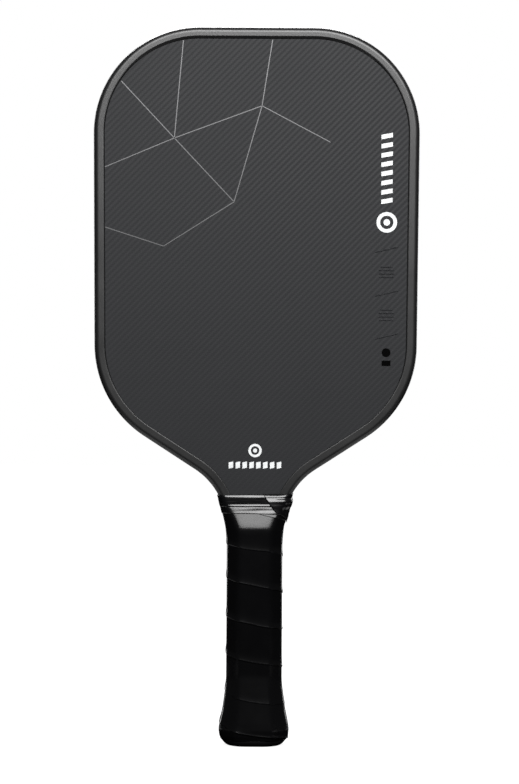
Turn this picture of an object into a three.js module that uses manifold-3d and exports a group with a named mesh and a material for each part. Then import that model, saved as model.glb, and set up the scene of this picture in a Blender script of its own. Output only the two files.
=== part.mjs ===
// Pickleball paddle: a honeycomb panel between two carbon faces, bound by an edge guard, on an
// octagonal handle with a butt cap, a cushion grip and a collar of finishing tape.
// Millimetres. Z runs from the butt to the crown, X across the face, and the front faces -Y.
// The origin is the centre of the butt end.
import * as THREE from "three";
import { mergeVertices } from "three/addons/utils/BufferGeometryUtils.js";
import Module from "manifold-3d";

const wasm = await Module();
wasm.setup();

// Head outline: a chain of tangent lines and arcs from the crown's centre down the right side.
const LENGTH = 419.1;
const CROWN_FLAT = 33.25;
const CORNER_RADIUS = 62;
const SIDE_TAPER = THREE.MathUtils.degToRad(0.5);
const SIDE_LENGTH = 123.1;
const SHOULDER_RADIUS = 64.05;
const SHOULDER_SLOPE = THREE.MathUtils.degToRad(32.84);
const SHOULDER_LENGTH = 35.46;
const THROAT_RADIUS = 40.4;
const THROAT_END = THREE.MathUtils.degToRad(16);
const ARC_STEPS = { corner: 14, shoulder: 9, throat: 6 };

// Panel: honeycomb between two faces, cut back from the outline by the guard's web and its glue.
const PANEL_THICKNESS = 16.2;
const FACE_THICKNESS = 0.5;
const CORE_THICKNESS = PANEL_THICKNESS - 2 * FACE_THICKNESS;
const TANG_HALF_WIDTH = 11.4;
const TANG_TOP = 124;
const TANG_BOTTOM = 4.1;
const CELL_PITCH = 16;
const CELL_WALL = 1;
const CELL_MARGIN = 1.2;
const CELL_SIDES = 6;
const CELLS_EACH_SIDE = 8;

// Edge guard: a channel whose lips lap over both faces.
const GUARD_THICKNESS = 18.4;
const GUARD_WEB = 1.4;
const GUARD_LIP = 6.7;
const GUARD_ROUNDING = 3;
const ROUNDING_STEPS = 4;
const GUARD_CROWN = 0.2;
const GUARD_GLUE = 0.2;
const LIP_CHAMFER = 0.4;
const PANEL_INSET = GUARD_WEB + GUARD_GLUE;

// Open part of a face: clear of the guard's lips and of the tape at the neck.
const OPEN_INSET = GUARD_LIP + 0.5;
const OPEN_BOTTOM = 150;

// Handle: two pallets around the tang make an octagon, tapered into the face at the neck.
const HANDLE = { halfWidth: 14.5, halfDepth: 12.25, flatX: 8.53, flatY: 6.28 };
const HANDLE_BOTTOM = 4;
const PALLET_SIDE_TOP = 121.5;
const NECK_START = 123;
const NECK_TOP = 137.9;
const NECK_TOP_HALF_DEPTH = 8.7;
const FIT_GAP = 0.1;
const OCTAGON_GROWTH = Math.tan(Math.PI / 8);

// Butt cap: [height, growth beyond the handle's octagon] from its end face to its upper rim.
const CAP_PROFILE = [
  [0, -1],
  [0.6, 1],
  [1.8, 2.4],
  [3.8, 3.2],
  [6.7, 3.85],
  [9.6, 4.2],
  [12.5, 3.9],
  [17.2, 3.15],
  [22, 2.25],
  [27, 1.55],
  [33, 0.85],
];
const BADGE_RADIUS = 9;
const BADGE_THICKNESS = 0.8;
const BADGE_SIDES = 32;

// Grip: [height, growth beyond the handle's octagon] over the butt, then plain handle.
const GRIP_FLARE = [
  [3.8, 4.4],
  [6.7, 5.6],
  [9.6, 5.95],
  [12.5, 5.6],
  [17.2, 4.85],
  [22, 3.95],
  [27, 3.25],
  [32, 2.6],
  [36, 2.1],
  [40, 1.75],
  [117, 1.75],
];
const GRIP_BORE_STEP = 36;
// Neck of the grip: [height, half width, half depth, half width of the front flat, half depth of
// the side flat], outside and inside.
const GRIP_NECK = [
  [123, 16.65, 14, 9.25, 7.2],
  [127, 17.1, 13.6, 9.4, 7.6],
  [131, 17.9, 12.6, 10.3, 7.9],
  [135.5, 19, 11.6, 11.4, 8.1],
  [139, 20.1, 10.6, 13.5, 8.4],
  [143, 20.9, 10.3, 15.5, 8.9],
];
const GRIP_NECK_BORE = [
  [127, 15.9, 12, 8.9, 7.1],
  [131, 16.7, 11.1, 9.9, 7.5],
  [135.5, 17.9, 10.2, 11.2, 7.8],
  [139, 19, 9.6, 15, 8.2],
  [143, 20.15, 9.5, 17, 8.3],
];
const CUT_PAST = 0.3;

// Finishing tape: a thin band over the grip's upper end and onto the guard, same kind of stations.
const TAPE_THICKNESS = 0.35;
const TAPE_BORE = [
  [135.8, 19.2, 11.65, 11.5, 8.2],
  [139, 20.2, 10.7, 13.6, 8.5],
  [143, 21, 10.4, 15.6, 9],
  [146.2, 21.8, 9.4, 18, 8.4],
];

// Staples: half width of the crown, length of the legs, thickness and width of the wire.
const STAPLE = { halfWidth: 5.5, leg: 5.2, thickness: 0.6, width: 1 };
const STAPLE_CLEARANCE = 0.25;
const CAP_STAPLE_Z = 20;
const CAP_STAPLE_Y = 14.75;
const GRIP_STAPLE_Z = 9.6;
const GRIP_STAPLE_Y = 17.5;

const UPRIGHT = new THREE.Matrix4().makeBasis(
  new THREE.Vector3(1, 0, 0),
  new THREE.Vector3(0, 0, 1),
  new THREE.Vector3(0, -1, 0),
);
const SIDEWAYS = new THREE.Matrix4().makeBasis(
  new THREE.Vector3(0, 1, 0),
  new THREE.Vector3(0, 0, 1),
  new THREE.Vector3(1, 0, 0),
);

// Right half of the head's outline moved inwards by inset, from the crown to the foot of the throat.
function halfOutline(inset) {
  const quarter = Math.PI / 2;
  let heading = 0;
  let x = 0;
  let z = LENGTH - inset;
  const points = [new THREE.Vector2(x, z)];
  const line = (length) => {
    x += length * Math.cos(heading);
    z -= length * Math.sin(heading);
    points.push(new THREE.Vector2(x, z));
  };
  const arc = (radius, turn, steps) => {
    const halfStep = turn / steps / 2;
    for (let i = 0; i < steps; i += 1) {
      heading += halfStep;
      line(2 * radius * Math.sin(Math.abs(halfStep)));
      heading += halfStep;
    }
  };
  line(CROWN_FLAT);
  arc(CORNER_RADIUS - inset, quarter + SIDE_TAPER, ARC_STEPS.corner);
  line(SIDE_LENGTH);
  arc(SHOULDER_RADIUS - inset, quarter - SIDE_TAPER - SHOULDER_SLOPE, ARC_STEPS.shoulder);
  line(SHOULDER_LENGTH);
  arc(THROAT_RADIUS + inset, SHOULDER_SLOPE + THROAT_END - quarter, ARC_STEPS.throat);
  return points;
}

// Whole outline of the head from the left foot of the throat, over the crown, to the right foot.
function headOutline(inset) {
  const right = halfOutline(inset);
  const left = right.slice(1).reverse();
  return [...left.map((point) => new THREE.Vector2(-point.x, point.y)), ...right];
}

// Outline of the panel: the head and the tang inside the handle.
function panelOutline(inset) {
  const side = TANG_HALF_WIDTH - inset;
  const bottom = TANG_BOTTOM + inset;
  return [
    ...headOutline(PANEL_INSET + inset),
    new THREE.Vector2(side, TANG_TOP),
    new THREE.Vector2(side, bottom),
    new THREE.Vector2(-side, bottom),
    new THREE.Vector2(-side, TANG_TOP),
  ];
}

// A flat plate parallel to the faces, from y = low to y = low + thickness.
function plate(outline, holes, low, thickness) {
  const shape = new THREE.Shape(outline);
  shape.holes = holes.map((hole) => new THREE.Path(hole));
  const geometry = new THREE.ExtrudeGeometry(shape, { depth: thickness, bevelEnabled: false });
  return geometry.applyMatrix4(UPRIGHT).translate(0, low + thickness, 0);
}

// A closed body through equal rings, whose points turn anticlockwise about the way they follow.
function loft(rings, section) {
  const count = section.length;
  const last = (rings.length - 1) * count;
  const indices = [];
  for (let start = 0; start < last; start += count) {
    for (let k = 0; k < count; k += 1) {
      const next = (k + 1) % count;
      indices.push(start + k, start + next, start + count + next);
      indices.push(start + k, start + count + next, start + count + k);
    }
  }
  THREE.ShapeUtils.triangulateShape(section, []).forEach(([a, b, c]) => {
    indices.push(c, b, a);
    indices.push(last + a, last + b, last + c);
  });
  const geometry = new THREE.BufferGeometry().setFromPoints(rings.flat());
  return geometry.setIndex(indices);
}

// A body through octagons around the Z axis, one for each station.
function octagonLoft(stations) {
  const corners = ({ halfWidth, halfDepth, flatX, flatY }) => [
    new THREE.Vector2(halfWidth, -flatY),
    new THREE.Vector2(halfWidth, flatY),
    new THREE.Vector2(flatX, halfDepth),
    new THREE.Vector2(-flatX, halfDepth),
    new THREE.Vector2(-halfWidth, flatY),
    new THREE.Vector2(-halfWidth, -flatY),
    new THREE.Vector2(-flatX, -halfDepth),
    new THREE.Vector2(flatX, -halfDepth),
  ];
  const rings = stations.map((station) =>
    corners(station).map((corner) => new THREE.Vector3(corner.x, corner.y, station.z)),
  );
  return loft(rings, corners(stations[0]));
}

// The handle's octagon at a height, with every side moved outwards by growth.
function handleStation([z, growth]) {
  return {
    z,
    halfWidth: HANDLE.halfWidth + growth,
    halfDepth: HANDLE.halfDepth + growth,
    flatX: HANDLE.flatX + growth * OCTAGON_GROWTH,
    flatY: HANDLE.flatY + growth * OCTAGON_GROWTH,
  };
}

function neckStation([z, halfWidth, halfDepth, flatX, flatY]) {
  return { z, halfWidth, halfDepth, flatX, flatY };
}

// The same station moved along Z and outwards.
function movedStation(station, rise, growth) {
  return {
    z: station.z + rise,
    halfWidth: station.halfWidth + growth,
    halfDepth: station.halfDepth + growth,
    flatX: station.flatX,
    flatY: station.flatY,
  };
}

function toSolid(geometry) {
  const bare = new THREE.BufferGeometry();
  bare.setAttribute("position", geometry.getAttribute("position"));
  bare.setIndex(geometry.index);
  const merged = mergeVertices(bare);
  return new wasm.Manifold(
    new wasm.Mesh({
      numProp: 3,
      vertProperties: merged.getAttribute("position").array,
      triVerts: new Uint32Array(merged.index.array),
    }),
  );
}

function toGeometry(solid) {
  const mesh = solid.getMesh();
  const geometry = new THREE.BufferGeometry();
  geometry.setAttribute("position", new THREE.BufferAttribute(mesh.vertProperties, 3));
  return geometry.setIndex(new THREE.BufferAttribute(mesh.triVerts, 1));
}

// Takes the cutters' shapes out of a body.
function cut(geometry, cutters) {
  const solid = cutters.reduce((rest, cutter) => rest.subtract(toSolid(cutter)), toSolid(geometry));
  return toGeometry(solid);
}

function isInside(outline, x, z) {
  let inside = false;
  outline.forEach((end, i) => {
    const start = outline[(i + outline.length - 1) % outline.length];
    if (start.y > z === end.y > z) return;
    const crossing = start.x + ((end.x - start.x) * (z - start.y)) / (end.y - start.y);
    if (x < crossing) inside = !inside;
  });
  return inside;
}

// Hexagonal cells that lie wholly inside the outline.
function honeycombCells(outline) {
  const radius = (CELL_PITCH - CELL_WALL) / Math.sqrt(3);
  const rowPitch = (CELL_PITCH * Math.sqrt(3)) / 2;
  const reach = CELLS_EACH_SIDE * CELL_PITCH;
  const cells = [];
  for (let row = 0; row * rowPitch < LENGTH; row += 1) {
    const shift = row % 2 ? CELL_PITCH / 2 : 0;
    for (let x = shift - reach; x <= reach; x += CELL_PITCH) {
      const cell = Array.from({ length: CELL_SIDES }, (_, k) => {
        const angle = (2 * Math.PI * (k + 0.5)) / CELL_SIDES;
        return new THREE.Vector2(
          x + radius * Math.cos(angle),
          row * rowPitch + radius * Math.sin(angle),
        );
      });
      if (cell.every((corner) => isInside(outline, corner.x, corner.y))) cells.push(cell);
    }
  }
  return cells;
}

function honeycombCore() {
  const cells = honeycombCells(panelOutline(CELL_MARGIN));
  return plate(panelOutline(0), cells, -CORE_THICKNESS / 2, CORE_THICKNESS);
}

// Part of a face that nothing laps over.
function openOutline() {
  return headOutline(OPEN_INSET).filter((point) => point.y > OPEN_BOTTOM);
}

// The sheet in front of the core, with a line in its surface round the open part.
function frontFace() {
  const sheet = panelOutline(0);
  const open = openOutline();
  const count = sheet.length;
  const front = -PANEL_THICKNESS / 2;
  const at = (outline, y) => outline.map((point) => new THREE.Vector3(point.x, y, point.y));
  const points = [
    ...at(sheet, front + FACE_THICKNESS),
    ...at(sheet, front),
    ...at(open, front),
  ];
  const indices = [];
  THREE.ShapeUtils.triangulateShape(sheet, []).forEach(([a, b, c]) => indices.push(c, b, a));
  THREE.ShapeUtils.triangulateShape(sheet, [open]).forEach((corners) => {
    indices.push(...corners.map((corner) => count + corner));
  });
  THREE.ShapeUtils.triangulateShape(open, []).forEach((corners) => {
    indices.push(...corners.map((corner) => 2 * count + corner));
  });
  for (let k = 0; k < count; k += 1) {
    const next = (k + 1) % count;
    indices.push(k, count + next, next);
    indices.push(k, count + k, count + next);
  }
  return new THREE.BufferGeometry().setFromPoints(points).setIndex(indices);
}

const backFace = () => frontFace().rotateZ(Math.PI);

// Section of the guard as (distance inwards from the outline, y), anticlockwise.
function guardSection() {
  const top = GUARD_THICKNESS / 2;
  const under = PANEL_THICKNESS / 2;
  const upper = [
    new THREE.Vector2(GUARD_LIP, under),
    new THREE.Vector2(GUARD_LIP, top - LIP_CHAMFER),
    new THREE.Vector2(GUARD_LIP - LIP_CHAMFER, top),
  ];
  for (let i = 0; i <= ROUNDING_STEPS; i += 1) {
    const angle = (Math.PI / 2) * (i / ROUNDING_STEPS);
    const inwards = GUARD_CROWN + GUARD_ROUNDING * (1 - Math.sin(angle));
    upper.push(new THREE.Vector2(inwards, top - GUARD_ROUNDING * (1 - Math.cos(angle))));
  }
  upper.push(new THREE.Vector2(0, GUARD_ROUNDING));
  const lower = upper.map((point) => new THREE.Vector2(point.x, -point.y)).reverse();
  const web = [new THREE.Vector2(GUARD_WEB, -under), new THREE.Vector2(GUARD_WEB, under)];
  return [...upper, ...lower, ...web];
}

function edgeGuard() {
  const section = guardSection();
  const paths = section.map((point) => headOutline(point.x));
  const rings = paths[0].map((_, i) =>
    section.map((point, k) => new THREE.Vector3(paths[k][i].x, point.y, paths[k][i].y)),
  );
  return loft(rings, section);
}

// A U-shaped wire staple with its crown at y = 0 and its legs along +Y.
function stapleShape(clearance) {
  const outer = STAPLE.halfWidth + clearance;
  const inner = STAPLE.halfWidth - STAPLE.thickness - clearance;
  const foot = STAPLE.leg + clearance;
  const crown = STAPLE.thickness + clearance;
  const shape = new THREE.Shape([
    new THREE.Vector2(-outer, -clearance),
    new THREE.Vector2(outer, -clearance),
    new THREE.Vector2(outer, foot),
    new THREE.Vector2(inner, foot),
    new THREE.Vector2(inner, crown),
    new THREE.Vector2(-inner, crown),
    new THREE.Vector2(-inner, foot),
    new THREE.Vector2(-outer, foot),
  ]);
  const depth = STAPLE.width + 2 * clearance;
  const geometry = new THREE.ExtrudeGeometry(shape, { depth, bevelEnabled: false });
  return geometry.translate(0, 0, -depth / 2);
}

function staple(z, y, side, clearance) {
  const geometry = stapleShape(clearance).translate(0, -y, 0);
  if (side === "back") geometry.rotateZ(Math.PI);
  return geometry.translate(0, 0, z);
}

const capStaple = (side, clearance = 0) => staple(CAP_STAPLE_Z, CAP_STAPLE_Y, side, clearance);
const gripStaple = (clearance = 0) => staple(GRIP_STAPLE_Z, GRIP_STAPLE_Y, "back", clearance);

// Half of the handle in front of the tang: a half octagon with a channel, tapered at the neck.
function frontPallet() {
  const depth = HANDLE.halfDepth;
  const faceY = PANEL_THICKNESS / 2;
  const column = octagonLoft([handleStation([HANDLE_BOTTOM, 0]), handleStation([NECK_TOP, 0])]);
  const profile = new THREE.Shape([
    new THREE.Vector2(0, HANDLE_BOTTOM),
    new THREE.Vector2(0, PALLET_SIDE_TOP),
    new THREE.Vector2(-faceY, PALLET_SIDE_TOP),
    new THREE.Vector2(-faceY, NECK_TOP),
    new THREE.Vector2(-NECK_TOP_HALF_DEPTH, NECK_TOP),
    new THREE.Vector2(-depth, NECK_START),
    new THREE.Vector2(-depth, HANDLE_BOTTOM),
  ]);
  const width = 2 * HANDLE.halfWidth;
  const side = new THREE.ExtrudeGeometry(profile, { depth: width, bevelEnabled: false });
  side.applyMatrix4(SIDEWAYS).translate(-HANDLE.halfWidth, 0, 0);
  const channelLength = PALLET_SIDE_TOP - HANDLE_BOTTOM + 2 * CUT_PAST;
  const channel = new THREE.BoxGeometry(
    2 * (TANG_HALF_WIDTH + FIT_GAP),
    PANEL_THICKNESS,
    channelLength,
  );
  channel.translate(0, 0, HANDLE_BOTTOM - CUT_PAST + channelLength / 2);
  const body = toGeometry(toSolid(column).intersect(toSolid(side)));
  return cut(body, [channel, capStaple("front", STAPLE_CLEARANCE)]);
}

const backPallet = () => frontPallet().rotateZ(Math.PI);

// A cup that the handle's end sits in, with a shallow recess for the badge in its end face.
function buttCap() {
  const outside = octagonLoft(CAP_PROFILE.map(handleStation));
  const [rimZ] = CAP_PROFILE.at(-1);
  const socket = octagonLoft([
    handleStation([HANDLE_BOTTOM - FIT_GAP, FIT_GAP]),
    handleStation([rimZ + CUT_PAST, FIT_GAP]),
  ]);
  const recess = disc(BADGE_RADIUS + FIT_GAP, -CUT_PAST, BADGE_THICKNESS + FIT_GAP);
  return cut(outside, [
    socket,
    recess,
    capStaple("front", STAPLE_CLEARANCE),
    capStaple("back", STAPLE_CLEARANCE),
    gripStaple(STAPLE_CLEARANCE),
  ]);
}

function disc(radius, low, high) {
  const cylinder = new THREE.CylinderGeometry(radius, radius, high - low, BADGE_SIDES);
  return cylinder.rotateX(Math.PI / 2).translate(0, 0, (low + high) / 2);
}

const badge = () => disc(BADGE_RADIUS, 0, BADGE_THICKNESS);

// The wound grip as one sleeve, from the butt to the neck.
function baseGrip() {
  const outside = [...GRIP_FLARE.map(handleStation), ...GRIP_NECK.map(neckStation)];
  const [firstZ] = GRIP_FLARE[0];
  const [rimZ, rimGrowth] = CAP_PROFILE.at(-1);
  const overCap = CAP_PROFILE.filter(([z]) => z >= firstZ && z < rimZ);
  const lower = [...overCap, [rimZ + FIT_GAP, rimGrowth], [GRIP_BORE_STEP, 0], [NECK_START, 0]];
  const bore = [
    ...lower.map(([z, growth]) => handleStation([z, growth + FIT_GAP])),
    ...GRIP_NECK_BORE.map(neckStation),
  ];
  bore.unshift(movedStation(bore[0], -CUT_PAST, 0));
  bore.push(movedStation(bore.at(-1), CUT_PAST, 0));
  return cut(octagonLoft(outside), [octagonLoft(bore), gripStaple(STAPLE_CLEARANCE)]);
}

function finishingTape() {
  const bore = TAPE_BORE.map(neckStation);
  const outside = bore.map((station) => movedStation(station, 0, TAPE_THICKNESS));
  bore.unshift(movedStation(bore[0], -CUT_PAST, 0));
  bore.push(movedStation(bore.at(-1), CUT_PAST, 0));
  return cut(octagonLoft(outside), [octagonLoft(bore)]);
}

const paddle = new THREE.Group();

function addPiece(name, geometry, color, roughness, metalness = 0) {
  const material = new THREE.MeshStandardMaterial({ color, roughness, metalness });
  const mesh = new THREE.Mesh(geometry, material);
  mesh.name = name;
  paddle.add(mesh);
}

addPiece("honeycomb_core", honeycombCore(), 0xd9d6cc, 0.6);
addPiece("front_face", frontFace(), 0x3d3e40, 0.55);
addPiece("back_face", backFace(), 0x3d3e40, 0.55);
addPiece("edge_guard", edgeGuard(), 0x232325, 0.5);
addPiece("front_pallet", frontPallet(), 0x8b7d63, 0.8);
addPiece("back_pallet", backPallet(), 0x8b7d63, 0.8);
addPiece("butt_cap", buttCap(), 0x151516, 0.45);
addPiece("butt_badge", badge(), 0x2a2b2d, 0.2);
addPiece("cap_staple_front", capStaple("front"), 0xb9bbbd, 0.3, 1);
addPiece("cap_staple_back", capStaple("back"), 0xb9bbbd, 0.3, 1);
addPiece("grip_staple", gripStaple(), 0xb9bbbd, 0.3, 1);
addPiece("base_grip", baseGrip(), 0x101012, 0.5);
addPiece("finishing_tape", finishingTape(), 0x0c0c0d, 0.2);

export default paddle;
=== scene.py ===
"""Looks of a pickleball paddle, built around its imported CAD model.

Metres, upright: Z runs from the butt to the crown, X goes across the face, the front faces -Y.
"""

import math

import bpy
import numpy as np
from mathutils import Euler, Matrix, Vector


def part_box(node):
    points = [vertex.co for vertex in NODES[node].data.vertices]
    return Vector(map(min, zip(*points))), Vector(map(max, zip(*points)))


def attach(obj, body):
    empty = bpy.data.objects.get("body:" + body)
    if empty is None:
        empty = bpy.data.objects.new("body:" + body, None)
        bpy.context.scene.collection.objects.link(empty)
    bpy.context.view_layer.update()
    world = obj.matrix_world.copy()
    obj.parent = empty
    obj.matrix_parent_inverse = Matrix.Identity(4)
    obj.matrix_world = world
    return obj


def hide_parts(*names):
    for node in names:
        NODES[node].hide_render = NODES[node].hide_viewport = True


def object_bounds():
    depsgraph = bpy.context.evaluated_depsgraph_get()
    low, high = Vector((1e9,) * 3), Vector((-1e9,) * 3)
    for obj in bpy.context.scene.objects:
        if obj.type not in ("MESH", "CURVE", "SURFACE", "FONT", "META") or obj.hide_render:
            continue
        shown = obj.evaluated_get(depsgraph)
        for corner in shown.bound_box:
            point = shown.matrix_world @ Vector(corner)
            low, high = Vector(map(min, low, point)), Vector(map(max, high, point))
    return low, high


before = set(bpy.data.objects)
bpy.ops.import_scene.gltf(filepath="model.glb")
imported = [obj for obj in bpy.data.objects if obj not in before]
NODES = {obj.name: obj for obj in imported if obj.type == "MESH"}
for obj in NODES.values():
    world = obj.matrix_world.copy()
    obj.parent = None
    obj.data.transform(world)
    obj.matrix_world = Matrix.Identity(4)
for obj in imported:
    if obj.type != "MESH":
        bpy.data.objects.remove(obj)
CAD_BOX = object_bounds()
MM = 0.001
BODY = "root"

# The frame's own heights and faces
PADDLE_LENGTH = CAD_BOX[1].z
FACE_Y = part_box("back_face")[1].y
GUARD_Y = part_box("edge_guard")[1].y
GRIP_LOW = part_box("base_grip")[0].z
GRIP_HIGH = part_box("base_grip")[1].z
CAP_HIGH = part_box("butt_cap")[1].z

# Head outline: tangent lines and arcs from the crown's centre down the right side, as in the CAD
CROWN_FLAT = 33.25 * MM
CORNER_RADIUS = 62 * MM
SIDE_TAPER = math.radians(0.5)
SIDE_LENGTH = 123.1 * MM
SHOULDER_RADIUS = 64.05 * MM
SHOULDER_SLOPE = math.radians(32.84)
SHOULDER_LENGTH = 35.46 * MM
THROAT_RADIUS = 40.4 * MM
THROAT_END = math.radians(16)
ARC_STEP = math.radians(1.5)
LINE_STEP = 4 * MM

# Bare handle's octagon, which the butt cap and the grip grow from
HANDLE_HALF_WIDTH = 14.5 * MM
HANDLE_HALF_DEPTH = 12.25 * MM
HANDLE_CORNER = 14.7 * MM
CORNER_SHARPNESS = 22
TURN_STEPS = 168


# ---------------------------------------------------------------- mesh helpers


def new_piece(name, points, faces, material, smooth=True):
    """A new piece that rides on the paddle's one body."""
    mesh = bpy.data.meshes.new(name)
    mesh.from_pydata([tuple(p) for p in points], [], faces)
    mesh.validate()
    mesh.update()
    mesh.polygons.foreach_set("use_smooth", [smooth] * len(mesh.polygons))
    piece = bpy.data.objects.new(name, mesh)
    bpy.context.scene.collection.objects.link(piece)
    piece.data.materials.append(material)
    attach(piece, BODY)
    return piece


def capped_tube(rows):
    """Points and faces of a closed body through equal closed rows, with flat end faces."""
    count, columns = len(rows), len(rows[0])
    faces = []
    for i in range(count - 1):
        low, high = i * columns, (i + 1) * columns
        for k in range(columns):
            n = (k + 1) % columns
            faces.append((low + k, low + n, high + n, high + k))
    faces.append(tuple(reversed(range(columns))))
    faces.append(tuple(range((count - 1) * columns, count * columns)))
    return np.concatenate(rows), faces


def smooth_step(t):
    t = np.clip(t, 0, 1)
    return t * t * (3 - 2 * t)


def smooth_curve(stations, z):
    """Value at z on a smooth curve that never overshoots its stations, a list of (z, value)."""
    zs, vs = (np.array(column, float) for column in zip(*stations))
    gaps, slopes = np.diff(zs), np.diff(vs) / np.diff(zs)
    tangents = np.zeros_like(vs)
    same = slopes[:-1] * slopes[1:] > 0
    harmonic = 2 * slopes[:-1] * slopes[1:] / np.where(same, slopes[:-1] + slopes[1:], 1)
    tangents[1:-1] = np.where(same, harmonic, 0)
    tangents[0], tangents[-1] = slopes[0], slopes[-1]
    z = np.clip(z, zs[0], zs[-1])
    i = np.clip(np.searchsorted(zs, z) - 1, 0, len(gaps) - 1)
    t = (z - zs[i]) / gaps[i]
    keep, rise = 2 * t**3 - 3 * t**2 + 1, 3 * t**2 - 2 * t**3
    lead, trail = t**3 - 2 * t**2 + t, t**3 - t**2
    bend = gaps[i] * (lead * tangents[i] + trail * tangents[i + 1])
    return keep * vs[i] + rise * vs[i + 1] + bend


def scaled(stations):
    """Stations given in millimetres, in metres."""
    return [tuple(MM * value for value in station) for station in stations]


# ---------------------------------------------------------------- materials


# Nearly all of a noise's values lie between these two
NOISE_RANGE = 0.3, 0.7


class Finish:
    """A procedural material and the node shorthand that builds it."""

    def __init__(self, name, color, roughness, metallic=0.0, **sockets):
        self.material = bpy.data.materials.new(name)
        self.material.use_nodes = True
        self.tree = self.material.node_tree
        self.shader = next(n for n in self.tree.nodes if n.type == "BSDF_PRINCIPLED")
        self.shader.inputs["Base Color"].default_value = (*color, 1)
        self.shader.inputs["Roughness"].default_value = roughness
        self.shader.inputs["Metallic"].default_value = metallic
        for socket, value in sockets.items():
            self.shader.inputs[socket.replace("_", " ")].default_value = value
        self.place = self.node("ShaderNodeTexCoord").outputs["Object"]

    def node(self, kind, **settings):
        made = self.tree.nodes.new(kind)
        for key, value in settings.items():
            setattr(made, key, value)
        return made

    def put(self, value, socket):
        if isinstance(value, bpy.types.NodeSocket):
            self.tree.links.new(value, socket)
        elif isinstance(value, tuple) and len(value) == 3 and len(socket.default_value) == 4:
            socket.default_value = (*value, 1)
        else:
            socket.default_value = value

    def feed(self, made, values):
        """Puts the values on the node's first sockets and gives back its outputs."""
        for value, socket in zip(values, made.inputs):
            self.put(value, socket)
        return made.outputs

    def math(self, operation, *values):
        return self.feed(self.node("ShaderNodeMath", operation=operation), values)[0]

    def vector(self, operation, *values):
        return self.feed(self.node("ShaderNodeVectorMath", operation=operation), values)

    def axes(self):
        return self.feed(self.node("ShaderNodeSeparateXYZ"), [self.place])

    def noise(self, scale, detail=2.0, roughness=0.5, stretch=None):
        made = self.node("ShaderNodeTexNoise")
        made.inputs["Scale"].default_value = scale
        made.inputs["Detail"].default_value = detail
        made.inputs["Roughness"].default_value = roughness
        place = self.place
        if stretch:
            mapping = self.node("ShaderNodeMapping")
            mapping.inputs["Scale"].default_value = stretch
            self.put(self.place, mapping.inputs["Vector"])
            place = mapping.outputs["Vector"]
        self.put(place, made.inputs["Vector"])
        return made.outputs["Fac"]

    def cells(self, scale):
        made = self.node("ShaderNodeTexVoronoi", feature="F1")
        made.inputs["Scale"].default_value = scale
        self.put(self.place, made.inputs["Vector"])
        return made.outputs["Distance"]

    def spread(self, value, low, high, start=0.0, end=1.0):
        """Maps value from its range, start to end, to low to high, and holds it there beyond."""
        made = self.node("ShaderNodeMapRange")
        limits = zip(("From Min", "From Max", "To Min", "To Max"), (start, end, low, high))
        for name, limit in limits:
            made.inputs[name].default_value = limit
        self.put(value, made.inputs["Value"])
        return made.outputs["Result"]

    def vary(self, noise, low, high):
        """Spreads a noise's usual range from low to high."""
        return self.spread(noise, low, high, *NOISE_RANGE)

    def blend(self, share, first, second):
        made = self.node("ShaderNodeMix", data_type="RGBA")
        self.put(share, made.inputs["Factor"])
        colors = [s for s in made.inputs if s.type == "RGBA"]
        self.put(first, colors[0])
        self.put(second, colors[1])
        return next(s for s in made.outputs if s.type == "RGBA")

    def color(self, value):
        self.put(value, self.shader.inputs["Base Color"])

    def roughness(self, value):
        self.put(value, self.shader.inputs["Roughness"])

    def relief(self, height, depth):
        """Adds a bump of that depth, in metres for a height of 1, over the bumps already there."""
        made = self.node("ShaderNodeBump")
        made.inputs["Distance"].default_value = depth
        normal = self.shader.inputs["Normal"]
        if normal.is_linked:
            self.put(normal.links[0].from_socket, made.inputs["Normal"])
        self.put(height, made.inputs["Height"])
        self.put(made.outputs["Normal"], normal)


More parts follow.
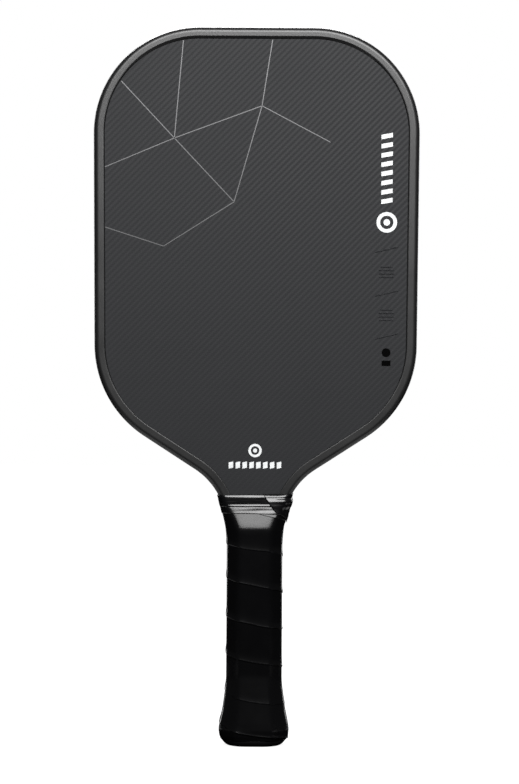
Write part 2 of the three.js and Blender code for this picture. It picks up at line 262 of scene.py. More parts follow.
def twill_finish():
    """Matte carbon: a two-by-two twill whose ribs climb to the right, under a peel-ply texture."""
    tow, float_length, repeat = 0.923 * MM, 2.0, 4.0
    tow_end_height, tow_roundness = 0.45, 2.6
    rib_relief, tow_relief, peel_relief = 0.038 * MM, 0.02 * MM, 0.014 * MM
    dark, light = (0.0166, 0.017, 0.0185), (0.0206, 0.0212, 0.0229)
    finish = Finish("carbon_twill", dark, 0.5, Specular_IOR_Level=0.15)
    x, _, z = finish.axes()
    u = finish.math("DIVIDE", x, tow)
    v = finish.math("DIVIDE", z, tow)
    column, row = finish.math("FLOOR", u), finish.math("FLOOR", v)
    order = finish.math("FLOORED_MODULO", finish.math("SUBTRACT", column, row), repeat)
    warp_on_top = finish.math("LESS_THAN", order, float_length - 0.5)
    climb = finish.math("ADD", finish.math("SUBTRACT", column, v), 1.0)
    along_warp = finish.math("FLOORED_MODULO", climb, repeat)
    along_warp = finish.math("MULTIPLY", along_warp, 1 / float_length)
    run = finish.math("FLOORED_MODULO", finish.math("SUBTRACT", u, row), repeat)
    along_weft = finish.math("SUBTRACT", run, float_length)
    along_weft = finish.math("MULTIPLY", along_weft, 1 / float_length)

    def tow_height(along, across):
        arch = finish.math("SINE", finish.math("MULTIPLY", along, math.pi))
        middle = finish.math("SUBTRACT", finish.math("FRACT", across), 0.5)
        flatness = finish.math("MULTIPLY", finish.math("POWER", middle, 2.0), tow_roundness)
        crown = finish.math("SUBTRACT", 1.0, flatness)
        return finish.math("MULTIPLY", finish.spread(arch, tow_end_height, 1.0), crown)

    warp, weft = tow_height(along_warp, u), tow_height(along_weft, v)
    lifted = finish.math("SUBTRACT", warp, weft)
    height = finish.math("MULTIPLY_ADD", lifted, warp_on_top, weft)
    # Painted sheen: the ribs are painted into the colour as light and dark stripes as well as
    # bumped, and both grow stronger towards the crown, where the light from above falls, and die
    # down towards the throat
    diagonal = finish.math("MULTIPLY", finish.math("SUBTRACT", u, v), 2 * math.pi / repeat)
    near_crown = finish.spread(z, 0.3, 1.5, 170 * MM, 390 * MM)
    rib = finish.math("MULTIPLY", finish.math("SINE", diagonal), near_crown)
    filaments = finish.noise(900, 3.0, 0.6, stretch=(6, 1, 1))
    patches = finish.noise(22, 3.0, 0.55)
    # Painted sheen: the rib term lightens and darkens the colour in stripes
    tone = finish.math("MULTIPLY_ADD", rib, 0.2, 0.5)
    tone = finish.math("ADD", tone, finish.vary(patches, -0.12, 0.12))
    tone = finish.math("ADD", tone, finish.vary(filaments, -0.5, 0.5))
    finish.color(finish.blend(tone, dark, light))
    finish.roughness(finish.vary(patches, 0.48, 0.53))
    finish.relief(rib, rib_relief)
    finish.relief(height, tow_relief)
    finish.relief(finish.noise(2400, 2.0), peel_relief)
    return finish.material


def guard_finish():
    """Satin black flexible plastic with a fine moulded grain and faint scuffs along the edge."""
    dark, light = (0.0068, 0.0068, 0.007), (0.0098, 0.0098, 0.01)
    finish = Finish("guard_plastic", (0.008, 0.008, 0.0083), 0.36, Specular_IOR_Level=0.55)
    scuffs = finish.noise(60, 4.0, 0.6, stretch=(1, 6, 1))
    finish.color(finish.blend(scuffs, dark, light))
    finish.roughness(finish.vary(scuffs, 0.33, 0.38))
    finish.relief(finish.noise(1500, 3.0, 0.6), 0.01 * MM)
    return finish.material


def grip_finish():
    """Black polyurethane: fine leather grain, a slightly tacky surface, shine where hands rub."""
    dark, light = (0.0018, 0.0018, 0.002), (0.003, 0.003, 0.0033)
    finish = Finish("grip_leatherette", (0.0022, 0.0022, 0.0024), 0.18, Specular_IOR_Level=0.24)
    grain = finish.cells(1400)
    rubbed = finish.noise(45, 3.0, 0.6)
    finish.color(finish.blend(rubbed, dark, light))
    finish.roughness(finish.vary(rubbed, 0.15, 0.2))
    finish.relief(grain, 0.004 * MM)
    finish.relief(finish.noise(420, 2.0), 0.006 * MM)
    return finish.material


def tape_finish():
    """Glossy black vinyl tape with fine stretch lines along its length."""
    dark, light = (0.0026, 0.0026, 0.003), (0.004, 0.004, 0.0045)
    finish = Finish("vinyl_tape", (0.003, 0.003, 0.0034), 0.18, Specular_IOR_Level=0.45)
    stretch_lines = finish.noise(160, 3.0, 0.6, stretch=(1, 1, 9))
    finish.color(finish.blend(stretch_lines, dark, light))
    finish.roughness(finish.vary(stretch_lines, 0.13, 0.26))
    finish.relief(stretch_lines, 0.012 * MM)
    finish.relief(finish.noise(60, 2.0), 0.08 * MM)
    return finish.material


def moulded_finish(name, color, roughness, grain_depth):
    """Moulded plastic with a fine spark-eroded grain."""
    finish = Finish(name, color, roughness)
    bloom = finish.noise(70, 3.0)
    lighter = tuple(1.35 * channel for channel in color)
    finish.color(finish.blend(bloom, color, lighter))
    finish.roughness(finish.vary(bloom, roughness - 0.05, roughness + 0.07))
    finish.relief(finish.noise(2200, 2.0), grain_depth)
    return finish.material


def core_finish():
    """Pale polypropylene, cloudy from moulding."""
    dark, light = (0.6, 0.58, 0.52), (0.72, 0.7, 0.65)
    finish = Finish("core_polypropylene", (0.66, 0.64, 0.58), 0.5, Subsurface_Weight=0.15)
    cloud = finish.noise(55, 3.0)
    finish.color(finish.blend(cloud, dark, light))
    finish.relief(finish.noise(800, 2.0), 0.03 * MM)
    return finish.material


def foam_finish():
    """Rigid tan foam with fine closed cells."""
    dark, light = (0.24, 0.2, 0.14), (0.4, 0.34, 0.25)
    finish = Finish("pallet_foam", (0.34, 0.28, 0.2), 0.85)
    pores = finish.cells(900)
    finish.color(finish.blend(pores, dark, light))
    finish.relief(pores, 0.1 * MM)
    return finish.material


def wire_finish():
    """Drawn steel wire."""
    finish = Finish("staple_steel", (0.55, 0.55, 0.56), 0.3, metallic=1.0)
    drawn = finish.noise(700, 2.0, stretch=(1, 8, 8))
    finish.roughness(finish.spread(drawn, 0.22, 0.42))
    finish.relief(drawn, 0.01 * MM)
    return finish.material


def print_finish(name, color, roughness, level=0.5, fade=1.0):
    """Screen-printed ink: a thin film that carries a little of the twill's grain.

    level is its specular level, and the last argument the share of its strength left at the head's
    middle: a painted shade that darkens the ink from the crown down, as the light from above falls
    off.
    """
    finish = Finish(name, color, roughness, Specular_IOR_Level=level)
    wear_start, wear_end, worn_share = 0.35, 0.65, 0.8
    faded_below, full_above = 290 * MM, 400 * MM
    wear = finish.noise(500, 3.0, 0.65)
    worn = tuple(worn_share * channel for channel in color)
    ink = finish.blend(finish.spread(wear, 0.0, 1.0, wear_start, wear_end), worn, color)
    # Painted shade: the ink darkens from the crown towards the head's middle, where less of the
    # light from above falls
    if fade < 1:
        faded = tuple(fade * channel for channel in color)
        height = finish.axes()[2]
        fading = finish.spread(height, 1.0, 0.0, faded_below, full_above)
        ink = finish.blend(fading, ink, faded)
    finish.color(ink)
    finish.relief(finish.noise(1300, 2.0), 0.02 * MM)
    return finish.material


TWILL = twill_finish()
GUARD = guard_finish()
GRIP = grip_finish()
TAPE = tape_finish()
CAP = moulded_finish("cap_plastic", (0.008, 0.008, 0.009), 0.42, 0.02 * MM)
BADGE = moulded_finish("badge_resin", (0.012, 0.012, 0.013), 0.14, 0.004 * MM)
# The light grey ink carries a painted shade, darker towards the head's middle
LIGHT_INK = print_finish("light_grey_ink", (0.19, 0.19, 0.195), 0.5, fade=0.4)
WHITE_INK = print_finish("white_ink", (0.8, 0.82, 0.82), 0.5)
BLACK_INK = print_finish("black_ink", (0.0008, 0.0008, 0.0008), 0.22, level=0.1)


def finish_cad_nodes():
    finishes = {
        "honeycomb_core": core_finish(),
        "front_face": TWILL,
        "back_face": TWILL,
        "front_pallet": foam_finish(),
        "edge_guard": GUARD,
        "butt_cap": CAP,
        "butt_badge": BADGE,
        "base_grip": GRIP,
        "finishing_tape": TAPE,
        "cap_staple_front": wire_finish(),
    }
    finishes["back_pallet"] = finishes["front_pallet"]
    finishes["cap_staple_back"] = finishes["cap_staple_front"]
    finishes["grip_staple"] = finishes["cap_staple_front"]
    for name, node in NODES.items():
        node.data.materials.clear()
        node.data.materials.append(finishes[name])


# ---------------------------------------------------------------- edge guard


def half_outline(inset):
    """Right half of the head's outline moved inwards by inset: (x, z) points, crown to throat."""
    heading = 0.0
    x, z = 0.0, PADDLE_LENGTH - inset
    points = [(x, z)]

    def line(length, steps=1):
        nonlocal x, z
        for _ in range(steps):
            x += length / steps * math.cos(heading)
            z -= length / steps * math.sin(heading)
            points.append((x, z))

    def straight(length):
        line(length, round(length / LINE_STEP))

    def arc(radius, turn):
        nonlocal heading
        steps = math.ceil(abs(turn) / ARC_STEP)
        half = turn / steps / 2
        for _ in range(steps):
            heading += half
            line(2 * radius * math.sin(abs(half)))
            heading += half

    straight(CROWN_FLAT)
    arc(CORNER_RADIUS - inset, math.pi / 2 + SIDE_TAPER)
    straight(SIDE_LENGTH)
    arc(SHOULDER_RADIUS - inset, math.pi / 2 - SIDE_TAPER - SHOULDER_SLOPE)
    straight(SHOULDER_LENGTH)
    arc(THROAT_RADIUS + inset, SHOULDER_SLOPE + THROAT_END - math.pi / 2)
    return np.array(points)


def head_outline(inset):
    right = half_outline(inset)
    left = right[:0:-1] * (-1, 1)
    return np.concatenate([left, right])


# Rounding of the guard's lip, as distance inwards and height, from its foot outwards
SIDE_LIP = [
    (6.7, 8.14), (6.62, 8.45), (6.45, 8.78), (6.22, 9.03), (5.97, 9.15), (5.7, 9.19), (5.45, 9.2),
    (4.8, 9.2), (3.6, 9.2),
]
SHOULDER_LIP = [
    (6.7, 8.14), (6.62, 8.88), (6.45, 9.14), (6.22, 9.19), (5.97, 9.2), (5.7, 9.2), (5.45, 9.2),
    (4.8, 9.2), (3.6, 9.2),
]
CROWN_LIP = [
    (7.1, 8.14), (6.8, 8.36), (6.3, 8.7), (5.9, 8.96), (5.68, 9.1), (5.55, 9.17), (5.45, 9.2),
    (5.3, 9.2), (3.6, 9.2),
]
# The side's lip turns into the shoulders' and the crown's, over these lengths
SHOULDER_LIP_TOP, SHOULDER_BLEND = 225 * MM, 30 * MM
CROWN_LIP_FOOT, CROWN_BLEND = 385 * MM, 25 * MM


def guard_section(lip):
    """Section of the guard as (distance inwards, y) points, anticlockwise."""
    web, rounding, crown = 1.4 * MM, 3.0 * MM, 0.15 * MM
    edge_points = [(0.04 * MM, 4 * MM), (0.0, 1.6 * MM)]
    upper = scaled(lip)
    for angle in np.radians(np.linspace(0, 90, 15)):
        inwards = rounding * (1 - math.sin(angle)) + crown
        upper.append((inwards, GUARD_Y - rounding * (1 - math.cos(angle))))
    upper += edge_points
    lower = [(inwards, -y) for inwards, y in reversed(upper)]
    return upper + lower + [(web, -FACE_Y), (web, FACE_Y)]


def guard_rows(lip):
    """Rows of points along the head of a guard with that lip all the way round."""
    section = guard_section(lip)
    x, z = np.array([head_outline(inwards) for inwards, _ in section]).transpose(2, 1, 0)
    y = np.broadcast_to([y for _, y in section], x.shape)
    return np.stack([x, y, z], -1)


def build_guard():
    rows, at_shoulder, at_crown = (guard_rows(lip) for lip in (SIDE_LIP, SHOULDER_LIP, CROWN_LIP))
    z = rows[:, :1, 2:]
    to_shoulder = smooth_step((SHOULDER_LIP_TOP - z) / SHOULDER_BLEND)
    to_crown = smooth_step((z - CROWN_LIP_FOOT) / CROWN_BLEND)
    rows = rows + to_shoulder * (at_shoulder - rows) + to_crown * (at_crown - rows)
    points, faces = capped_tube(rows)
    guard = new_piece("edge_guard_moulding", points, faces, GUARD)
    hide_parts("edge_guard")


# ---------------------------------------------------------------- handle surfaces


def rounded_octagon(theta, half_width, half_depth, corner, growth, sharpness=CORNER_SHARPNESS):
    """Radius at angle theta of an octagon with soft corners.

    half_width, half_depth and corner are its sides' distances from the axis, moved out by growth.
    """
    cos, sin = np.abs(np.cos(theta)), np.abs(np.sin(theta))
    diagonal = (cos + sin) / math.sqrt(2)
    total = (cos / (half_width + growth)) ** sharpness
    total = total + (sin / (half_depth + growth)) ** sharpness
    total = total + (diagonal / (corner + growth)) ** sharpness
    return total ** (-1 / sharpness)


# Growth of the cap's outside beyond the handle, by height: its bare rim, then its flare under the
# grip. Lengths in this and the other tables are in millimetres.
RIM_GROWTH = [(0, -1), (0.25, 0.4), (0.9, 1.75), (1.8, 2.8), (2.8, 3.7), (3.4, 4.1), (3.72, 4.25)]
CAP_GROWTH = [
    (3.74, 2.7), (6.7, 3.55), (9.6, 3.85), (12.5, 3.6), (17.2, 3.05), (22, 2.25), (27, 1.55),
    (33, 0.85),
]
# Growth of the wound grip's outside beyond the handle over the butt, in width and in depth
GRIP_GROWTH = [
    (3.8, 4.6), (5, 5.1), (6.7, 5.6), (9.6, 5.95), (12.5, 5.6), (17.2, 4.7), (22, 3.75), (27, 3.05),
    (32, 2.4), (36, 1.95), (40, 1.75), (110, 1.75), (117, 1.75),
]
DEPTH_GROWTH = [
    (3.8, 4.6), (6.7, 5.45), (9.6, 5.75), (12.5, 5.5), (17.2, 4.9), (22, 4.25), (27, 3.6),
    (32, 2.95), (37, 2.3), (42, 1.8), (48, 1.75), (117, 1.75),
]
# Grip's outside at the neck: height, half width, half depth, diagonal distance
NECK_SURFACE = [
    (117, 16.25, 14.0, 16.45), (123, 16.65, 14.0, 16.7), (126, 16.95, 13.9, 16.95),
    (128, 17.25, 13.5, 17.1), (131, 17.9, 12.75, 17.4), (135.5, 19.0, 11.6, 18.1),
    (139, 20.1, 10.75, 19.0), (143, 20.9, 10.3, 19.9), (144, 21.05, 9.8, 20.2),
    (147, 21.9, 8.9, 20.6),
]


def grip_surface(theta, z, growth):
    """Radius of the wound grip's outside at angle theta and height z, moved out by growth."""
    wider, deeper = (smooth_curve(scaled(stations), z) for stations in (GRIP_GROWTH, DEPTH_GROWTH))
    neck = scaled(NECK_SURFACE)
    start = neck[0][0]
    half_width, half_depth = HANDLE_HALF_WIDTH + wider, HANDLE_HALF_DEPTH + deeper
    corner = HANDLE_CORNER + (wider + deeper) / 2
    sides = []
    for k, at_handle in enumerate((half_width, half_depth, corner), start=1):
        at_neck = smooth_curve([(station[0], station[k]) for station in neck], z)
        sides.append(np.where(z < start, at_handle, at_neck))
    return rounded_octagon(theta, *sides, growth)


def ring(radius, theta, z):
    z = np.broadcast_to(z, theta.shape)
    return np.stack([radius * np.cos(theta), radius * np.sin(theta), z], -1)


def circle(radius, theta, z):
    return ring(np.full(theta.shape, radius), theta, z)


# ---------------------------------------------------------------- butt cap and badge


def build_butt_cap():
    """Its rows run out from the badge's seat, up over the rim and flare, and down the socket."""
    theta = np.linspace(0, 2 * math.pi, TURN_STEPS, endpoint=False)
    sides = HANDLE_HALF_WIDTH, HANDLE_HALF_DEPTH, HANDLE_CORNER
    centre, recess, seat, bevel = 0.2 * MM, 9.1 * MM, 0.9 * MM, 0.15 * MM
    socket_floor, clearance = 3.9 * MM, 0.1 * MM
    outside_sharpness, socket_sharpness = 14, 60
    rows = [circle(centre, theta, seat), circle(recess, theta, seat)]
    rows += [circle(recess, theta, bevel), circle(recess + bevel, theta, 0.0)]
    rim_heights = [*np.linspace(0, 3.69, 24), RIM_GROWTH[-1][0]]
    flare_heights = np.linspace(CAP_GROWTH[0][0], CAP_GROWTH[-1][0], 40)
    for stations, heights in ((RIM_GROWTH, rim_heights), (CAP_GROWTH, flare_heights)):
        for z in np.array(heights) * MM:
            growth = smooth_curve(scaled(stations), z)
            outside = rounded_octagon(theta, *sides, growth, outside_sharpness)
            rows.append(ring(outside, theta, z))
    for z in (CAP_HIGH, socket_floor):
        socket = rounded_octagon(theta, *sides, clearance, socket_sharpness)
        rows.append(ring(socket, theta, z))
    rows.append(circle(centre, theta, socket_floor))
    points, faces = capped_tube(np.array(rows))
    cap = new_piece("butt_cap_moulding", points, faces, CAP)
    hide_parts("butt_cap")


def build_badge():
    """A blank resin disc with a low dome, set in the cap's recess."""
    theta = np.linspace(0, 2 * math.pi, 96, endpoint=False)
    dome_radius, dome_top, dome_fall = 8.6, 0.02, 0.23
    # Radius and height in millimetres, from the seat out round the rim and in over the dome
    profile = [(0.1, 0.8), (8.9, 0.8), (9.0, 0.7), (9.0, 0.45), (8.9, 0.33), (dome_radius, 0.25)]
    for r in (7, 5, 3, 1, 0.1):
        profile.append((r, dome_top + dome_fall * (r / dome_radius) ** 2))
    rows = [circle(r * MM, theta, z * MM) for r, z in reversed(profile)]
    points, faces = capped_tube(np.array(rows))
    badge = new_piece("butt_badge_dome", points, faces, BADGE)
    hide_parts("butt_badge")


# ---------------------------------------------------------------- wound strips


def edge_rounding(distance, radius):
    """How far a face drops within radius of a rounded edge."""
    t = np.clip(1 - distance / radius, 0, 1)
    return radius * (1 - np.sqrt(1 - t * t))


def strip_rows(turns, low, high, across, surface, outer, inner, edge_radii, lean=0.0):
    """Closed rows of a strip wound leftwards up the handle, one row for each turn value.

    low and high are the strip's edges at each turn, and across is how the points are shared out
    from one to the other. surface gives the radius at (theta, z, growth), and outer and inner the
    growth of the strip's two faces at (turn, z). edge_radii round off its low and its high edge.
    lean is how many turns further the last row's high end reaches than its low end.
    """
    leaning_turns = 0.2
    rows = []
    for turn, edge_low, edge_high in zip(turns, low, high):
        leaning = lean * smooth_step((turn - turns[-1]) / leaning_turns + 1)
        theta = -math.pi / 2 - 2 * math.pi * (turn + leaning * across)
        z = edge_low + across * (edge_high - edge_low)
        low_drop = edge_rounding(z - edge_low, edge_radii[0])
        high_drop = edge_rounding(edge_high - z, edge_radii[1])
        outside = surface(theta, z, outer(turn, z) - (low_drop + high_drop))
        inside = surface(theta, z, inner(turn, z))
        rows.append(np.concatenate([ring(outside, theta, z), ring(inside, theta, z)[::-1]]))
    return np.array(rows)


# Height of the grip's seam by turn: whole turns are at the front's middle, .25 at the left side
# and .75 at the right
SEAM_HEIGHTS = [
    (-2, -32), (-1, -10.5), (-0.25, 4.2), (-0.12, 5.4), (0, 6.9), (0.08, 8.6), (0.16, 12.2),
    (0.25, 14.4), (0.75, 24.2), (0.88, 24.7), (1, 25.9), (1.08, 27.6), (1.16, 31.2), (1.25, 33.6),
    (1.75, 45.8), (2, 48.9), (2.08, 50.4), (2.25, 55.4), (2.75, 67.9), (2.93, 69.5), (3, 70.9),
    (3.08, 72.6), (3.25, 76.9), (3.75, 89.3), (3.93, 92.2), (4, 93.6), (4.08, 95.1), (4.25, 99.5),
    (4.75, 110.7), (4.93, 113.6), (5, 114.2), (5.06, 114.9), (5.12, 116.4), (5.25, 118.6), (6, 136),
]
FIRST_TURN, LAST_TURN = -1.35, 6.0
STRIP_WIDTH, STRIP_THICKNESS = 28 * MM, 1.6 * MM
# Thickness left at the skived high edge, and how far inside the next turn the skiving starts
STRIP_HIGH_EDGE, SKIVE_START = 0.25 * MM, 1.5 * MM
# Beyond the turn below, the strip settles on the handle over this length
SETTLE = 3.5 * MM
# The strip keeps this far off what it lies on, so that no faces coincide
STRIP_CLEARANCE = 0.02 * MM
# Height of the bulge over a seam, and how fast it dies away, by height
SEAM_STEP = [
    (4, 0.9), (8, 0.68), (12, 0.55), (20, 0.34), (28, 0.34), (42, 0.55), (95, 0.53), (114, 0.4),
]
SEAM_REACH = [(5, 1.15), (11, 1.1), (28, 2.6), (45, 1.9), (95, 1.9), (114, 1.7)]


def seam_height(turn):
    return smooth_curve(SEAM_HEIGHTS, turn) * MM


def skived_drop(turn, z):
    """How far the strip's top falls under the next turn, towards the strip's thinned high edge."""
    covered = seam_height(turn + 1) + SKIVE_START
    share = (z - covered) / (seam_height(turn) + STRIP_WIDTH - covered)
    return (STRIP_THICKNESS - STRIP_HIGH_EDGE) * smooth_step(share)


def seam_bulge(turn, z):
    """How far the turn below holds the strip's low edge up: a step that dies away upwards."""
    above = np.maximum(z - seam_height(turn), 0)
    step, reach = (smooth_curve(scaled(stations), z) for stations in (SEAM_STEP, SEAM_REACH))
    return step * np.exp(-above / reach)


def strip_lift(turn, z):
    """How far the strip's inner face is held off the handle by the turn below it."""
    past = z - seam_height(turn - 1) - STRIP_WIDTH
    edge = STRIP_HIGH_EDGE * (1 - smooth_step(past / SETTLE))
    lift = np.where(past < 0, STRIP_THICKNESS - skived_drop(turn - 1, z), edge)
    return np.where(turn - 1 < FIRST_TURN, 0.0, lift)


def grip_outer(turn, z):
    return seam_bulge(turn, z) - skived_drop(turn, z)


def grip_inner(turn, z):
    return strip_lift(turn, z) - STRIP_THICKNESS + STRIP_CLEARANCE


def build_grip():
    turns = np.linspace(FIRST_TURN, LAST_TURN, round((LAST_TURN - FIRST_TURN) * TURN_STEPS))
    low = np.maximum(seam_height(turns), GRIP_LOW)
    high = np.minimum(seam_height(turns) + STRIP_WIDTH, GRIP_HIGH)
    # Points lie closer together near the low edge, where the seam shows
    across = np.linspace(0, 1, 34) ** 1.8
    across = np.concatenate([across[:-1], [0.985, 1.0]])
    edge_radii = 0.4 * MM, 0.2 * MM
    rows = strip_rows(turns, low, high, across, grip_surface, grip_outer, grip_inner, edge_radii)
    points, faces = capped_tube(rows)
    grip = new_piece("base_grip_wrap", points, faces, GRIP)
    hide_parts("base_grip")


# Finishing tape: heights of its low and high edges by turn; turns 0, 1 and 2 are the front's middle
TAPE_LOW = [
    (-0.2, 135.3), (0, 135.4), (0.25, 135.6), (0.5, 135.2), (0.75, 134.6), (1, 135.5),
    (1.25, 135.6), (1.5, 134.2), (1.68, 131.6), (1.76, 130), (1.79, 130.5), (1.83, 133.6),
    (1.875, 136.3),
]
TAPE_HIGH = [
    (-0.2, 146.3), (0, 146.7), (0.25, 146), (0.5, 146.5), (0.75, 146.4), (1, 146.7), (1.25, 146),
    (1.5, 146.6), (1.75, 147.2), (1.875, 146.9),
]
TAPE_START, TAPE_END, TAPE_LEAN = -0.2, 1.875, 0.055
TAPE_THICKNESS = 0.2 * MM
# The tape's body, a little thinner than its share of the winding, so that layers don't touch
TAPE_BACKING = 0.95 * TAPE_THICKNESS
# Outside of what the tape covers: height, half width, half depth, diagonal distance
TAPE_BED = [
    (131, 17.95, 12.8, 17.5), (135.5, 19.0, 11.68, 18.15), (139.1, 19.95, 10.9, 19.05),
    (139.5, 20.1, 10.86, 19.15), (141.2, 20.55, 10.5, 19.6), (142.2, 20.8, 10.45, 19.85),
    (144.9, 21.4, 10.3, 20.35), (145.9, 21.65, 10.0, 20.6), (146.7, 21.9, 9.6, 20.75),
    (147.5, 22.1, 9.2, 20.9),
]
# Height and stand-off of the slack last turn at the right side, and of its loose end on the front
SIDE_SLACK = [
    (131, 0.95), (134, 1.1), (137.5, 1.05), (140, 1.3), (142, 1.5), (143.3, 1.3), (144.5, 0.65),
    (147.5, 0.4),
]
FLAP_SLACK = [
    (131, 0.9), (134.5, 0.75), (138, 0.95), (141, 1.3), (142.4, 1.25), (145, 0.62), (147.5, 0.62),
]
# Turns at which the slack sets in and the flap starts, and over how much of a turn
SLACK_TURN, SLACK_BLEND = 1.5, 0.2
FLAP_TURN, FLAP_BLEND = 1.79, 0.06


def tape_bed(theta, z, growth):
    bed = scaled(TAPE_BED)
    sides = [smooth_curve([(station[0], station[k]) for station in bed], z) for k in (1, 2, 3)]
    return rounded_octagon(theta, *sides, growth)


def wrinkle(height, pitch, z, phase):
    """A wave up the tape, with its phase given in waves."""
    return height * np.sin(2 * math.pi * (z / pitch + phase))


def tape_outer(turn, z):
    """How far the tape's outside stands off its bed: the layers below, slack and wrinkles."""
    groove_height, groove_depth, groove_width = 139.3 * MM, 0.1 * MM, 0.3 * MM
    layers = 2 if turn > 1 + TAPE_START else 1
    groove = groove_depth * np.exp(-(((z - groove_height) / groove_width) ** 2))
    wave = wrinkle(0.015 * MM, 5.3 * MM, z, 3 * turn)
    ripple = wrinkle(0.008 * MM, 2.1 * MM, z, 0.6 * math.sin(5 * turn))
    crumple = wrinkle(0.06 * MM, 3.3 * MM, z, 5 * turn)
    tight = layers * TAPE_THICKNESS + wave + ripple - groove
    side = smooth_curve(scaled(SIDE_SLACK), z) + crumple
    flap = smooth_curve(scaled(FLAP_SLACK), z) + crumple / 2
    to_side = smooth_step((turn - SLACK_TURN) / SLACK_BLEND)
    to_flap = smooth_step((turn - FLAP_TURN) / FLAP_BLEND)
    growth = tight + to_side * (side - tight)
    return growth + to_flap * (flap - growth)


def tape_inner(turn, z):
    return tape_outer(turn, z) - TAPE_BACKING


def build_tape():
    turns = np.linspace(TAPE_START, TAPE_END, 2 * TURN_STEPS)
    low, high = (smooth_curve(edge, turns) * MM for edge in (TAPE_LOW, TAPE_HIGH))
    across = np.concatenate([[0, 0.012], np.linspace(0.03, 0.97, 44), [0.988, 1]])
    tape_faces = tape_bed, tape_outer, tape_inner
    edge_radii = 0.15 * MM, 0.15 * MM
    rows = strip_rows(turns, low, high, across, *tape_faces, edge_radii, TAPE_LEAN)
    points, faces = capped_tube(rows)
    tape = new_piece("finishing_tape_wrap", points, faces, TAPE)
    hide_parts("finishing_tape")


# ---------------------------------------------------------------- printed marks


INK_HEIGHT = 0.05 * MM


def flat_prism(outline):
    """Points and faces of an ink film of that (x, z) outline, in millimetres, on the front face."""
    count = len(outline)
    points = []
    for y in (-FACE_Y - INK_HEIGHT, -FACE_Y):
        points += [(x * MM, y, z * MM) for x, z in outline]
    faces = [tuple(range(count)), tuple(reversed(range(count, 2 * count)))]
    for k in range(count):
        n = (k + 1) % count
        faces.append((n, k, count + k, count + n))
    return points, faces


def add_marks(name, bodies, material):
    """One piece of many small bodies, each given as its points and faces."""
    points, faces = [], []
    for new_points, new_faces in bodies:
        faces += [tuple(len(points) + k for k in face) for face in new_faces]
        points += new_points
    new_piece(name, points, faces, material, smooth=False)


def print_marks(name, outlines, ink):
    add_marks(name, [flat_prism(outline) for outline in outlines], ink)


def ridge(start, end, width=0.9, height=0.28):
    """Points and faces of a low roof-shaped ridge from start to end on the front face."""
    first, second, third, fourth = stroke(start, end, width)
    foot = [(x * MM, -FACE_Y, z * MM) for x, z in (first, second, third, fourth)]
    crest = []
    for end_points in ((first, second), (fourth, third)):
        x, z = np.mean(end_points, axis=0)
        crest.append((x * MM, -FACE_Y - height * MM, z * MM))
    faces = [(0, 3, 2, 1), (0, 4, 5, 3), (1, 2, 5, 4), (0, 1, 4), (3, 5, 2)]
    return foot + crest, faces


def bar(x, z, width, height, slant=0.0):
    """Outline of a bar centred at (x, z) whose right end is slant higher than its left."""
    left, right = x - width / 2, x + width / 2
    return [
        (left, z - (height + slant) / 2), (right, z - (height - slant) / 2),
        (right, z + (height + slant) / 2), (left, z + (height - slant) / 2),
    ]


def stroke(start, end, width):
    """Outline of a straight line of that width."""
    along = (Vector(end) - Vector(start)).normalized() * width / 2
    side = Vector((-along.y, along.x))
    first, last = Vector(start), Vector(end)
    return [tuple(p) for p in (first + side, first - side, last - side, last + side)]


def disc(x, z, radius, sides=40):
    angles = np.linspace(0, 2 * math.pi, sides, endpoint=False)
    return [(x + radius * math.cos(a), z + radius * math.sin(a)) for a in angles]


def ring_quads(x, z, outer, inner, sides=40):
    """A ring as a fan of four-sided outlines."""
    angles = np.linspace(0, 2 * math.pi, sides + 1)
    quads = []
    for a, b in zip(angles[:-1], angles[1:]):
        corners = ((inner, a), (outer, a), (outer, b), (inner, b))
        quads.append([(x + r * math.cos(t), z + r * math.sin(t)) for r, t in corners])
    return quads


def build_marks():
    """Generic marks in the places of the printed and pressed ones; (x, z) in millimetres."""
    # Thin lines between three points of the face, and out from them
    left, top, low, outer = (-48.0, 354.0), (3.0, 373.0), (-13.0, 317.0), (-54.0, 291.0)
    lines = [
        (left, top), (top, low), (low, left), ((-79.0, 387.0), left), ((-88.3, 337.0), left),
        (top, (9.0, 411.5)), (top, (43.0, 352.0)), (low, outer), (outer, (-88.3, 302.0)),
        ((-43.0, 411.0), left),
    ]
    line_width = 0.5
    print_marks("line_print", [stroke(a, b, line_width) for a, b in lines], LIGHT_INK)

    # White: a column of bars over a ringed disc at the right, and a row of them at the throat
    side_x, ring_z, column_z, column_step = 76.0, 305.5, 318.0, 5.4
    throat_z, row_z, row_x, row_step = 172.2, 163.7, -14.0, 4.0
    white = [
        bar(side_x, column_z + column_step * k, width=6.6, height=2.6, slant=1.2)
        for k in range(8)
    ]
    white += ring_quads(side_x, ring_z, outer=6.0, inner=3.9)
    white.append(disc(side_x, ring_z, radius=1.9))
    white += [
        bar(row_x + row_step * k, row_z, width=2.6, height=3.6, slant=0.6) for k in range(8)
    ]
    white += ring_quads(0.0, throat_z, outer=3.9, inner=2.5)
    white.append(disc(0.0, throat_z, radius=1.2))
    print_marks("white_marks", white, WHITE_INK)

    # Pressed: three sloping ridges with four level ones between each two
    slope_left, slope_right, rise = 69.5, 82.5, 3.1
    pressed = [ridge((slope_left, z), (slope_right, z + rise)) for z in (288.0, 262.5, 237.5)]
    for middle in (276.5, 251.5):
        for dz, half in ((3.0, 3.5), (1.0, 4.5), (-1.0, 4.5), (-3.0, 4.0)):
            z = middle + dz
            pressed.append(ridge((side_x - half, z), (side_x + half, z)))
    add_marks("pressed_marks", pressed, TWILL)

    black = [disc(side_x, 229.6, radius=2.6), bar(side_x, 223.4, width=5.2, height=3.2)]
    print_marks("black_marks", black, BLACK_INK)


# ---------------------------------------------------------------- stage


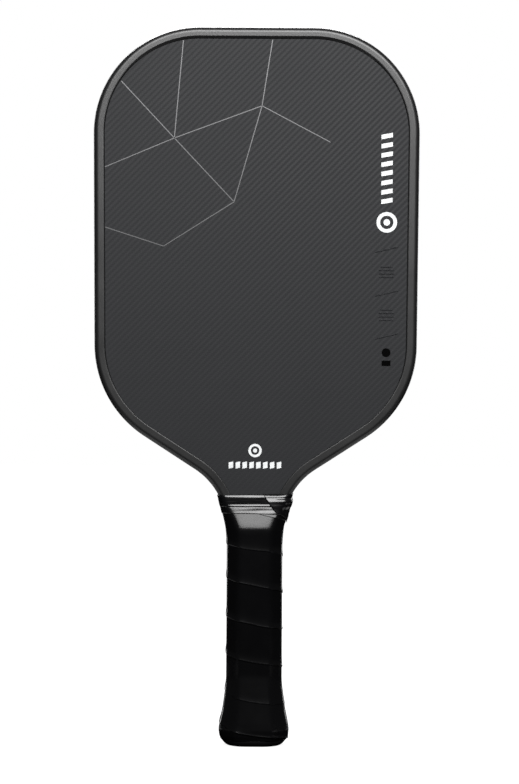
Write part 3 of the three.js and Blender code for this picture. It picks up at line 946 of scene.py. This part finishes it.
def build_floor():
    """Pale floor, lit from within to a white sweep for the camera alone.

    For the paddle the floor is dark, and in its reflections has four small pools of light,
    mirrored about the handle. They catch the guard's rounded edge at the shoulders, and the tape
    and the grip's seams at the sides of the handle.
    """
    reach = 6.0
    near_glow, far_glow, near, far = 0.93, 1.02, 0.3, 1.1
    dark_grey = 0.02
    pool_place, pool_glow, pool_core, pool_edge = (0.19, 0.1, 0), 1.2, 0.07, 0.1
    corners = [(-reach, -reach, 0), (reach, -reach, 0), (reach, reach, 0), (-reach, reach, 0)]
    mesh = bpy.data.meshes.new("floor")
    mesh.from_pydata(corners, [], [(0, 1, 2, 3)])
    floor = bpy.data.objects.new("floor", mesh)
    bpy.context.scene.collection.objects.link(floor)
    finish = Finish("pale_floor", (0.16, 0.16, 0.16), 0.9, Specular_IOR_Level=0.0)
    finish.shader.inputs["Emission Color"].default_value = (1, 1, 1, 1)
    away = finish.vector("LENGTH", finish.place)["Value"]
    glow = finish.spread(away, near_glow, far_glow, near, far)
    finish.put(glow, finish.shader.inputs["Emission Strength"])
    dark = finish.node("ShaderNodeBsdfDiffuse")
    dark.inputs["Color"].default_value = (dark_grey, dark_grey, dark_grey, 1)
    folded = finish.vector("ABSOLUTE", finish.place)["Vector"]
    aside = finish.vector("DISTANCE", folded, pool_place)["Value"]
    pool = finish.node("ShaderNodeEmission")
    finish.put(finish.spread(aside, pool_glow, 0.0, pool_core, pool_edge), pool.inputs["Strength"])
    path = finish.node("ShaderNodeLightPath").outputs

    def choose(share, first, second):
        return finish.feed(finish.node("ShaderNodeMixShader"), (share, first, second))[0]

    reflected = choose(path["Is Glossy Ray"], dark.outputs[0], pool.outputs[0])
    seen = choose(path["Is Camera Ray"], reflected, finish.shader.outputs[0])
    output = next(n for n in finish.tree.nodes if n.type == "OUTPUT_MATERIAL")
    finish.put(seen, output.inputs[0])
    mesh.materials.append(finish.material)


def build_world():
    """White to the camera, dim grey to everything else, as a dark studio round a lit backdrop."""
    dim_grey = 0.05
    world = bpy.data.worlds.new("studio")
    world.use_nodes = True
    bpy.context.scene.world = world
    nodes, links = world.node_tree.nodes, world.node_tree.links
    background = next(n for n in nodes if n.type == "BACKGROUND")
    output = next(n for n in nodes if n.type == "OUTPUT_WORLD")
    background.inputs["Color"].default_value = (dim_grey, dim_grey, dim_grey, 1)
    backdrop = nodes.new("ShaderNodeBackground")
    backdrop.inputs["Color"].default_value = (1, 1, 1, 1)
    path = nodes.new("ShaderNodeLightPath")
    mix = nodes.new("ShaderNodeMixShader")
    links.new(path.outputs["Is Camera Ray"], mix.inputs[0])
    links.new(background.outputs[0], mix.inputs[1])
    links.new(backdrop.outputs[0], mix.inputs[2])
    links.new(mix.outputs[0], output.inputs[0])


def softbox(name, place, size, radiance):
    """A rectangular lamp aimed at the paddle's middle."""
    target = Vector((0, 0, 0.25))
    # An area lamp's radiance is a quarter of its energy over its area
    energy_share = 4
    data = bpy.data.lights.new(name, "AREA")
    data.shape = "RECTANGLE"
    data.size, data.size_y = size
    data.energy = energy_share * radiance * size[0] * size[1]
    light = bpy.data.objects.new(name, data)
    bpy.context.scene.collection.objects.link(light)
    light.location = place
    light.rotation_euler = (target - Vector(place)).to_track_quat("-Z", "Y").to_euler()


def build_lights():
    wide, tall = (0.95, 0.6), (0.35, 1.0)
    softbox("front_softbox", (0.1, -1.08, 0.9), wide, radiance=12.5)
    softbox("back_softbox", (-0.1, 0.95, 1.2), wide, radiance=11)
    softbox("left_softbox", (-0.8, 1.0, 0.5), tall, radiance=3)
    softbox("right_softbox", (0.8, 1.0, 0.5), tall, radiance=3)


def build_camera():
    """Square on to the front, at the photo's height, with its slight tilt to the side."""
    aside, distance, height = 0.0024, 1.6, 0.2063
    tilt = math.radians(-0.31)
    data = bpy.data.cameras.new("camera")
    data.sensor_width = 36
    data.lens = 125.5
    camera = bpy.data.objects.new("camera", data)
    bpy.context.scene.collection.objects.link(camera)
    camera.location = (aside, -distance, height)
    camera.rotation_euler = Euler((math.pi / 2, tilt, 0))
    bpy.context.scene.camera = camera


finish_cad_nodes()
build_guard()
build_butt_cap()
build_badge()
build_grip()
build_tape()
build_marks()
build_floor()
build_world()
build_lights()
build_camera()
bpy.context.scene.view_settings.view_transform = "Standard"
